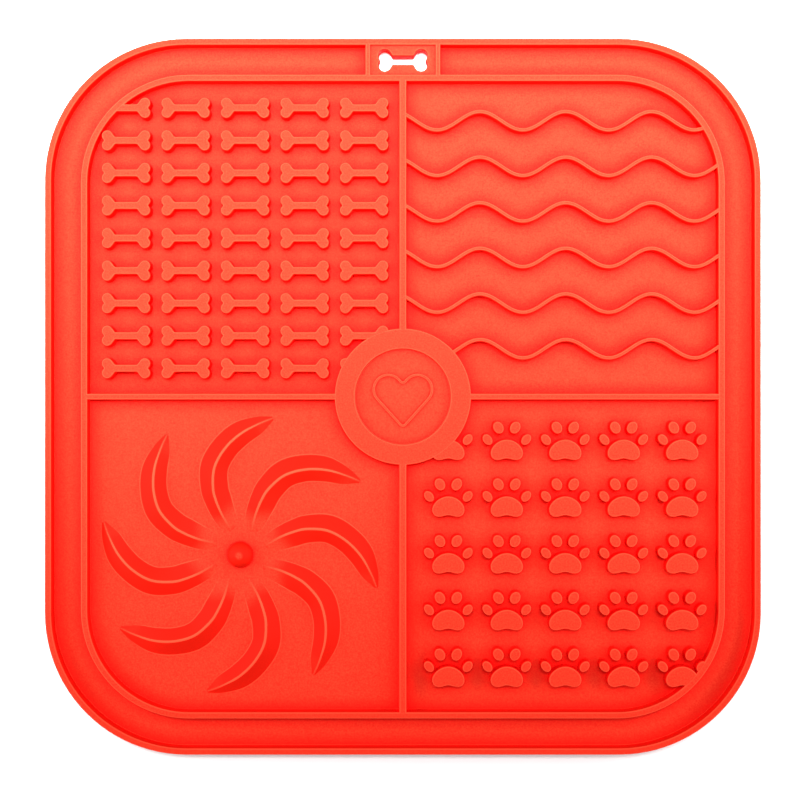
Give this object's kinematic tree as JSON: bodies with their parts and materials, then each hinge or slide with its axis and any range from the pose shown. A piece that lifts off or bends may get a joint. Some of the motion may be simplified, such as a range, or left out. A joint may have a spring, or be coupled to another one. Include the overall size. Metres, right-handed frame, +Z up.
{
  "type": "slow feeder mat",
  "caption": "Flat round-cornered silicone slow feeder mat with raised rim, ribs, bones, waves, paws, swirl blades and a hole for hanging.",
  "frame": {"origin": "middle of the flat underside", "axes": "+Z up out of the relief, +X to the right, +Y towards the edge with the hanging hole"},
  "size_m": [0.2, 0.2, 0.005],
  "materials": {
    "silicone": "matte moulded silicone rubber, orange red"
  },
  "bodies": {
    "root": {"mat": "silicone", "hanging_tab": "silicone", "strip_left": "silicone", "strip_right": "silicone"}
  },
  "joints": []
}
